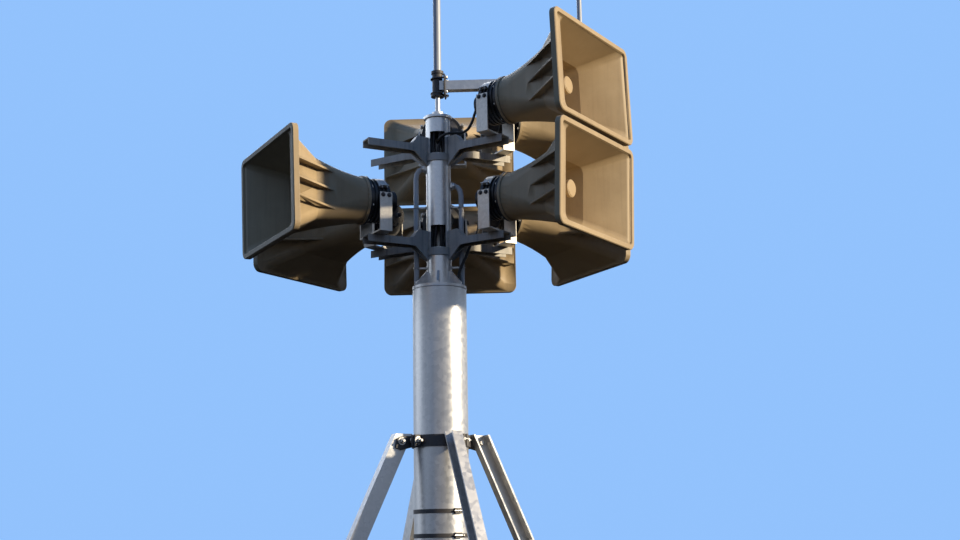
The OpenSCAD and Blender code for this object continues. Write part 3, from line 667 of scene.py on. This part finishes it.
def makeConduitClips(plan):
    # A wire ring round each conduit, held off the head tube by a bar on a small pad
    clips = bmesh.new()
    for azimuth in tower["glandRise"]:
        out = heading(azimuth)
        for height in plan["heights"]:
            spot = polar(tower["conduitOut"], azimuth, height)
            ring = [spot + plan["radius"] * (heading(azimuth + step * 30)) for step in range(12)]
            addTube(clips, ring, plan["wire"], 8, closed=True)
            reach = tower["conduitOut"] - plan["radius"] - tower["headRadius"]
            bar = polar(tower["headRadius"] + reach / 2, azimuth, height)
            addBlock(clips, turned(bar, out), (*plan["bar"], reach + plan["barSink"]), plan["barEdge"])
            pad = polar(tower["headRadius"] + plan["pad"][2] / 2, azimuth, height)
            addBlock(clips, turned(pad, out), plan["pad"], plan["padEdge"])
    finishPiece("conduitClips", clips, "plateZinc", 40)


makeConduitClips({"heights": (2.925, 3.180), "radius": 0.0118, "wire": 0.0022, "bar": (0.010, 0.008),
                  "barSink": 0.004, "barEdge": 0.001, "pad": (0.0208, 0.0104, 0.004), "padEdge": 0.0012})


def makeGlands(plan):
    # Nut and cap of each conduit's gland, and the cable gland on the back of each driver
    nuts = bmesh.new()
    rubber = bmesh.new()
    for azimuth, rise in tower["glandRise"].items():
        out = heading(azimuth)
        height = tower["lowerArmZ"] + rise
        wall = polar(tower["headRadius"] - plan["nutSink"], azimuth, height)
        addDisc(nuts, turned(wall, out), 0, plan["nutDepth"], 6, plan["nutRadius"])
        addDisc(nuts, turned(polar(tower["glandEnd"], azimuth, height), out), 0, plan["capDepth"], 20,
                plan["capRadius"], plan["capRadius"] * plan["capTaper"])
    for key in horns:
        place = hornFrame(key)
        back = turned(place @ Vector((tower["driverRear"], 0, 0)), place.to_3x3() @ Vector((-1, 0, 0)))
        addDisc(nuts, back, 0, plan["hexDepth"], 6, plan["hexRadius"])
        addDisc(rubber, back, plan["hexDepth"], plan["bootDepth"], 18, plan["bootRadius"],
                plan["bootRadius"] * plan["bootTaper"])
    finishPiece("glandBoots", rubber, "leadBlack", 40)
    finishPiece("glandNuts", nuts, "boltZinc")


makeGlands({"nutRadius": 0.0195, "nutDepth": 0.008, "nutSink": 0.001,
            "capRadius": 0.0132, "capDepth": 0.006, "capTaper": 0.88, "hexRadius": 0.0125, "hexDepth": 0.006,
            "bootDepth": 0.016, "bootRadius": 0.0095, "bootTaper": 0.74})


def makeInnerLeads(plan):
    # Leads that climb inside the head tube and show in its two windows
    mesh = bmesh.new()
    rise = plan["high"] - plan["low"]
    for strand in range(plan["count"]):
        azimuth = plan["azimuth"] + strand * plan["step"]
        route = []
        for index in range(plan["points"] + 1):
            along = index / plan["points"]
            wave = math.sin(along * plan["waves"] * 2 * math.pi + strand * plan["shift"])
            route.append(polar(plan["radius"] + plan["sway"] * wave, azimuth + plan["twist"] * wave,
                               plan["low"] + along * rise))
        addTube(mesh, route, plan["thick"] / 2, 9)
    finishPiece("innerLeads", mesh, "leadBlack", 60)


makeInnerLeads({"count": 7, "azimuth": -154.0, "step": 22.5, "points": 22, "radius": 0.0335, "sway": 0.003,
                "twist": 15.6, "waves": 1.5, "shift": 1.7, "low": 2.86, "high": 3.545, "thick": 0.0125})


def makeAntennaBolts(plan):
    # Plate on the side arm and two round bolts that hold it to the coupling
    steel = bmesh.new()
    nuts = bmesh.new()
    plateX = plan["plateX"]
    plateAt = Matrix.Translation((plateX, 0, tower["sideArmZ"]))
    addBlock(steel, plateAt, (plan["plate"], *plan["plateSize"]), plan["plateEdge"])
    for way in (-1, 1):
        height = tower["sideArmZ"] + way * plan["spread"]
        bend = tower["couplingRadius"] + plan["rod"]
        arc = [polar(bend, azimuth, height) for azimuth in range(90, 271, 15)]
        end = plateX + plan["plate"] / 2 + plan["tail"]
        route = [Vector((end, bend, height)), *arc, Vector((end, -bend, height))]
        addTube(steel, route, plan["rod"], 12)
        for side in (-1, 1):
            addHex(nuts, Vector((plateX + plan["plate"] / 2, side * bend, height)), (1, 0, 0), plan["across"])
    for height in plan["rodScrews"]:
        for way in (-1, 1):
            spot = Vector((plan["reach"], way * plan["socketRadius"], height))
            addHex(nuts, spot, (0, way, 0), plan["screwAcross"])
    finishPiece("antennaNuts", nuts, "boltZinc")
    finishPiece("antennaBrackets", steel, "darkSteel", 40)


makeAntennaBolts({"plateX": 0.031, "plate": 0.006, "plateSize": (0.082, 0.088), "plateEdge": 0.0015,
                  "spread": 0.032, "rod": 0.004, "tail": 0.012, "across": 0.013, "reach": 0.606,
                  "socketRadius": 0.017, "rodScrews": (3.7457, 3.7597), "screwAcross": 0.0104})


def makeStrapScrews(plan):
    # Worm screw through the buckle of each mast band
    mesh = bmesh.new()
    for drop in tower["strapDrops"]:
        height = tower["clampZ"] - drop + tower["strapHeight"] / 2
        spot = polar(tower["mastRadius"] + plan["out"], plan["azimuth"], height)
        along = heading(plan["azimuth"] + 90)
        addDisc(mesh, turned(spot - along * plan["half"], along), 0, 2 * plan["half"], 16, plan["radius"])
        addHex(mesh, spot + along * plan["half"], along, plan["across"])
    finishPiece("strapScrews", mesh, "boltZinc")


makeStrapScrews({"azimuth": -52, "out": 0.0085, "half": 0.020, "radius": 0.0036, "across": 0.0075})


def addBead(mesh, plan, height, radius, thick):
    # A ring weld with an uneven surface
    before = set(mesh.verts)
    centre = Vector((0, 0, height))
    at = Matrix.Translation(centre + Vector((radius, 0, 0))) @ Matrix.Rotation(math.pi / 2, 4, "X")
    section = bmesh.ops.create_circle(mesh, segments=plan["sides"], radius=thick, matrix=at)["verts"]
    bmesh.ops.spin(mesh, geom=section + edgesOf(section), cent=centre, axis=(0, 0, 1), angle=2 * math.pi,
                   steps=plan["steps"], use_merge=True)
    for vert in [vert for vert in mesh.verts if vert not in before]:
        push = Vector((random.uniform(-1, 1), random.uniform(-1, 1), random.uniform(-1, 1)))
        vert.co += push * thick * plan["uneven"]


def makeWelds(plan):
    mesh = bmesh.new()
    for ring in plan["rings"]:
        addBead(mesh, plan, *ring)
    bmesh.ops.remove_doubles(mesh, verts=mesh.verts, dist=mergeGap)
    finishPiece("weldBeads", mesh, "galvanised", 60)


# Each ring weld by its height, its radius and the radius of the bead
makeWelds({"steps": 72, "sides": 7, "uneven": 0.16, "rings": (
    (tower["baseTop"], tower["mastRadius"], 0.005), (tower["mastTop"], tower["headRadius"], 0.004),
    (tower["mastTop"] - 0.012, tower["mastRadius"], 0.002), (tower["headTop"], tower["headRadius"], 0.003),
    (tower["lowerArmZ"] - tower["collarDrop"], tower["headRadius"], 0.003),
    (tower["upperArmZ"] - tower["collarDrop"], tower["headRadius"], 0.003))})
print("small pieces made")


# Pale floor, three lamps and the sky
def makeFloor(plan):
    mesh = bmesh.new()
    bmesh.ops.create_circle(mesh, cap_ends=True, segments=plan["sides"], radius=plan["radius"])
    data = bpy.data.meshes.new("floor")
    mesh.to_mesh(data)
    mesh.free()
    floor = bpy.data.objects.new("floor", data)
    bpy.context.scene.collection.objects.link(floor)
    material, tree, shader = newMaterial("floorPale", 0.0, plan["rough"])
    cloud = noise(tree, objectPlace(tree), plan["cloudScale"], plan["cloudDetail"])
    colour = blendColour(tree, remap(tree, cloud, *plan["clouds"]), plan["dark"], plan["light"])
    tree.links.new(colour, shader.inputs["Base Color"])
    behind = tree.nodes.new("ShaderNodeNewGeometry").outputs["Backfacing"]
    tree.links.new(mathNode(tree, "SUBTRACT", 1.0, behind), shader.inputs["Alpha"])  # clear from below
    data.materials.append(material)
    floor.location.z = -plan["drop"]
    floor.visible_diffuse = floor.visible_glossy = False  # no light thrown up at the undersides


makeFloor({"radius": 140, "sides": 96, "drop": 0.0005, "rough": 0.8, "cloudScale": 0.6, "cloudDetail": 3.0,
           "clouds": (0.3, 0.7), "dark": (0.74, 0.75, 0.76), "light": (0.78, 0.79, 0.79)})
# The rear lamp only makes reflections
lightPlan = {
    "sun": {"azimuth": -13, "elevation": 18, "angle": 3, "strength": 5.4, "colour": (1.0, 0.84, 0.60),
            "diffuse": True},
    "rear": {"azimuth": 165, "elevation": 22, "angle": 44, "strength": 0.5, "colour": (0.86, 0.92, 1.0),
             "diffuse": False},
    "back": {"azimuth": 108, "elevation": 30, "angle": 40, "strength": 1.3, "colour": (0.94, 0.97, 1.0),
             "diffuse": True},
}
lampDistance = 6


def makeLights(plan):
    for name, look in plan.items():
        data = bpy.data.lights.new(name, "SUN")
        data.angle, data.energy, data.color = math.radians(look["angle"]), look["strength"], look["colour"]
        lamp = bpy.data.objects.new(name, data)
        bpy.context.scene.collection.objects.link(lamp)
        lamp.visible_diffuse = look["diffuse"]
        rise = math.radians(look["elevation"])
        out = heading(look["azimuth"]) * math.cos(rise) + Vector((0, 0, math.sin(rise)))
        lamp.matrix_world = turned(out * lampDistance, out)


# Colours of the sky by the kind of ray, and where one goes over into the next
skyPlan = {"shown": (0.29, 0.54, 0.98), "above": (0.11, 0.21, 0.44), "level": (0.13, 0.20, 0.34),
           "mirroredSide": (0.56, 0.65, 0.78), "mirroredFront": (0.24, 0.23, 0.24),
           "below": (0.004, 0.003, 0.003), "strength": 1.0, "front": (1.0, 0.6), "raised": (0.09, 0.20),
           "horizon": (-0.12, 0.02), "zenith": (0.02, 0.7)}


def makeSky(look):
    world = bpy.data.worlds.new("studio")
    world.use_nodes = True
    tree = world.node_tree
    place = tree.nodes.new("ShaderNodeTexCoord").outputs["Generated"]
    apart = tree.nodes.new("ShaderNodeSeparateXYZ")
    tree.links.new(place, apart.inputs["Vector"])
    ray = tree.nodes.new("ShaderNodeLightPath").outputs
    # Reflections are dark low behind the camera, brighter to the sides and higher up
    facing = tree.nodes.new("ShaderNodeVectorMath")
    facing.operation = "DOT_PRODUCT"
    facing.inputs[1].default_value = heading(cameraPlan["azimuth"])
    tree.links.new(place, facing.inputs[0])
    sideways = remap(tree, facing.outputs["Value"], *look["front"])
    raised = remap(tree, apart.outputs["Z"], *look["raised"])
    mirrored = blendColour(tree, mathNode(tree, "MAXIMUM", sideways, raised), look["mirroredFront"],
                           look["mirroredSide"])
    around = blendColour(tree, ray["Is Glossy Ray"], look["level"], mirrored)
    colour = blendColour(tree, remap(tree, apart.outputs["Z"], *look["horizon"]), look["below"], around)
    colour = blendColour(tree, remap(tree, apart.outputs["Z"], *look["zenith"]), colour, look["above"])
    shown = blendColour(tree, ray["Is Camera Ray"], colour, look["shown"])
    tree.links.new(shown, tree.nodes["Background"].inputs["Color"])
    tree.nodes["Background"].inputs["Strength"].default_value = look["strength"]
    bpy.context.scene.world = world


makeLights(lightPlan)
makeSky(skyPlan)
bpy.context.scene.view_settings.view_transform = "Standard"
print("floor and lights made")
